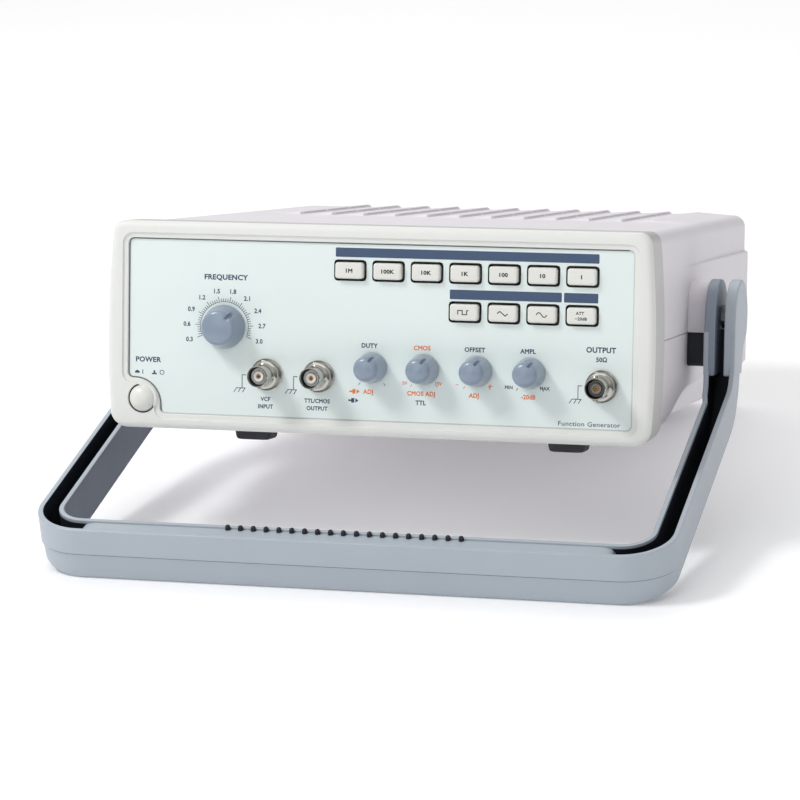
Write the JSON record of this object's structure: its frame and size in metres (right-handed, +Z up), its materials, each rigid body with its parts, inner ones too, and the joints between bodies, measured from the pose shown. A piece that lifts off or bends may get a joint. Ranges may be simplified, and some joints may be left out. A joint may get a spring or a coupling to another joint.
{
  "type": "function generator",
  "caption": "Bench function generator: low case with bezel, push-button rows, knobs and coaxial sockets, standing on a swivelling U-shaped handle.",
  "frame": {"origin": "middle of the whole object's footprint, on the surface it stands on", "axes": "+Z up, +X to the right as its user sees it, +Y from the user's side to the back; the case leans back about 9.9 degrees on its handle"},
  "size_m": [0.288, 0.3618, 0.1458],
  "materials": {
    "case_cover": "fine moulded texture",
    "bezel_plastic": "satin",
    "panel_print": "printed film, satin",
    "handle_plastic": "satin",
    "navy_plastic": "matt",
    "button_cap": "satin",
    "knob_plastic": "semi-gloss",
    "foot_rubber": "matt",
    "nickel": "nickel plate",
    "steel": "plain",
    "gold_contact": "gold plate",
    "insulator": "smooth",
    "circuit_board": "solder mask",
    "black_plastic": "satin",
    "rear_sheet": "painted sheet",
    "laminations": "varnished steel laminations",
    "coil_tape": "taped copper winding",
    "switch_body": "plain"
  },
  "bodies": {
    "case": {"top_cover": "case_cover", "bottom_cover": "case_cover", "front_bezel": "bezel_plastic", "front_panel": "panel_print", "rear_panel": "rear_sheet", "foot_front_left": "foot_rubber", "foot_front_right": "foot_rubber", "foot_rear_left": "foot_rubber", "foot_rear_right": "foot_rubber", "pivot_hub_left": "navy_plastic", "pivot_bolt_left": "steel", "pivot_hub_right": "navy_plastic", "pivot_bolt_right": "steel", "power_switch": "black_plastic", "frequency_pot": "switch_body", "duty_pot": "switch_body", "cmos_level_pot": "switch_body", "offset_pot": "switch_body", "amplitude_pot": "switch_body", "vcf_input_bnc": "nickel", "vcf_input_insulator": "insulator", "vcf_input_contact": "gold_contact", "ttl_output_bnc": "nickel", "ttl_output_insulator": "insulator", "ttl_output_contact": "gold_contact", "main_output_bnc": "nickel", "main_output_insulator": "insulator", "main_output_contact": "gold_contact", "range_switch_bank": "switch_body", "wave_switch_bank": "switch_body", "front_board": "circuit_board", "main_board": "circuit_board", "transformer_core": "laminations", "transformer_coil": "coil_tape", "mains_inlet": "black_plastic"},
    "handle_assembly": {"handle": "handle_plastic", "handle_grip": "navy_plastic"},
    "range_button_1_body": {"range_button_1": "button_cap"},
    "range_button_2_body": {"range_button_2": "button_cap"},
    "range_button_3_body": {"range_button_3": "button_cap"},
    "range_button_4_body": {"range_button_4": "button_cap"},
    "range_button_5_body": {"range_button_5": "button_cap"},
    "range_button_6_body": {"range_button_6": "button_cap"},
    "range_button_7_body": {"range_button_7": "button_cap"},
    "square_wave_button_body": {"square_wave_button": "button_cap"},
    "triangle_wave_button_body": {"triangle_wave_button": "button_cap"},
    "sine_wave_button_body": {"sine_wave_button": "button_cap"},
    "attenuator_button_body": {"attenuator_button": "button_cap"},
    "power_button_body": {"power_button": "button_cap", "power_push_rod": "switch_body"},
    "frequency_body": {"frequency_knob": "knob_plastic", "frequency_shaft": "steel"},
    "duty_shaft_body": {"duty_shaft": "steel"},
    "duty_knob_body": {"duty_knob": "knob_plastic"},
    "cmos_level_shaft_body": {"cmos_level_shaft": "steel"},
    "cmos_level_knob_body": {"cmos_level_knob": "knob_plastic"},
    "offset_shaft_body": {"offset_shaft": "steel"},
    "offset_knob_body": {"offset_knob": "knob_plastic"},
    "amplitude_shaft_body": {"amplitude_shaft": "steel"},
    "amplitude_knob_body": {"amplitude_knob": "knob_plastic"}
  },
  "joints": [
    {"name": "handle_swivel", "type": "hinge", "parent": "case", "child": "handle_assembly", "pos_m": [0, 0.00871, 0.0833], "axis": [1, 0, 0], "range_deg": [-200, 25]},
    {"name": "range_button_1_press", "type": "slide", "parent": "case", "child": "range_button_1_body", "axis": [0, 0.9852, -0.1715], "range_m": [0, 0.0025], "stiffness_N_per_m": 400},
    {"name": "range_button_2_press", "type": "slide", "parent": "case", "child": "range_button_2_body", "axis": [0, 0.9852, -0.1715], "range_m": [0, 0.0025], "stiffness_N_per_m": 400},
    {"name": "range_button_3_press", "type": "slide", "parent": "case", "child": "range_button_3_body", "axis": [0, 0.9852, -0.1715], "range_m": [0, 0.0025], "stiffness_N_per_m": 400},
    {"name": "range_button_4_press", "type": "slide", "parent": "case", "child": "range_button_4_body", "axis": [0, 0.9852, -0.1715], "range_m": [0, 0.0025], "stiffness_N_per_m": 400},
    {"name": "range_button_5_press", "type": "slide", "parent": "case", "child": "range_button_5_body", "axis": [0, 0.9852, -0.1715], "range_m": [0, 0.0025], "stiffness_N_per_m": 400},
    {"name": "range_button_6_press", "type": "slide", "parent": "case", "child": "range_button_6_body", "axis": [0, 0.9852, -0.1715], "range_m": [0, 0.0025], "stiffness_N_per_m": 400},
    {"name": "range_button_7_press", "type": "slide", "parent": "case", "child": "range_button_7_body", "axis": [0, 0.9852, -0.1715], "range_m": [0, 0.0025], "stiffness_N_per_m": 400},
    {"name": "square_wave_button_press", "type": "slide", "parent": "case", "child": "square_wave_button_body", "axis": [0, 0.9852, -0.1715], "range_m": [0, 0.0025], "stiffness_N_per_m": 400},
    {"name": "triangle_wave_button_press", "type": "slide", "parent": "case", "child": "triangle_wave_button_body", "axis": [0, 0.9852, -0.1715], "range_m": [0, 0.0025], "stiffness_N_per_m": 400},
    {"name": "sine_wave_button_press", "type": "slide", "parent": "case", "child": "sine_wave_button_body", "axis": [0, 0.9852, -0.1715], "range_m": [0, 0.0025], "stiffness_N_per_m": 400},
    {"name": "attenuator_button_press", "type": "slide", "parent": "case", "child": "attenuator_button_body", "axis": [0, 0.9852, -0.1715], "range_m": [0, 0.0025], "stiffness_N_per_m": 400},
    {"name": "power_press", "type": "slide", "parent": "case", "child": "power_button_body", "axis": [0, 0.9852, -0.1715], "range_m": [0, 0.004], "stiffness_N_per_m": 500},
    {"name": "frequency_turn", "type": "hinge", "parent": "case", "child": "frequency_body", "pos_m": [-0.0706, -0.10869, 0.09988], "axis": [0, -0.9852, 0.1715], "range_deg": [-90, 180]},
    {"name": "duty_pull", "type": "slide", "parent": "case", "child": "duty_shaft_body", "axis": [0, -0.9852, 0.1715], "range_m": [0, 0.003]},
    {"name": "duty_turn", "type": "hinge", "parent": "duty_shaft_body", "child": "duty_knob_body", "pos_m": [-0.0018, -0.11143, 0.08412], "axis": [0, -0.9852, 0.1715], "range_deg": [-115, 155]},
    {"name": "cmos_level_pull", "type": "slide", "parent": "case", "child": "cmos_level_shaft_body", "axis": [0, -0.9852, 0.1715], "range_m": [0, 0.003]},
    {"name": "cmos_level_turn", "type": "hinge", "parent": "cmos_level_shaft_body", "child": "cmos_level_knob_body", "pos_m": [0.0219, -0.11143, 0.08412], "axis": [0, -0.9852, 0.1715], "range_deg": [-115, 155]},
    {"name": "offset_pull", "type": "slide", "parent": "case", "child": "offset_shaft_body", "axis": [0, -0.9852, 0.1715], "range_m": [0, 0.003]},
    {"name": "offset_turn", "type": "hinge", "parent": "offset_shaft_body", "child": "offset_knob_body", "pos_m": [0.046, -0.11143, 0.08412], "axis": [0, -0.9852, 0.1715], "range_deg": [-115, 155]},
    {"name": "amplitude_pull", "type": "slide", "parent": "case", "child": "amplitude_shaft_body", "axis": [0, -0.9852, 0.1715], "range_m": [0, 0.003]},
    {"name": "amplitude_turn", "type": "hinge", "parent": "amplitude_shaft_body", "child": "amplitude_knob_body", "pos_m": [0.0699, -0.11143, 0.08412], "axis": [0, -0.9852, 0.1715], "range_deg": [-115, 155]}
  ]
}
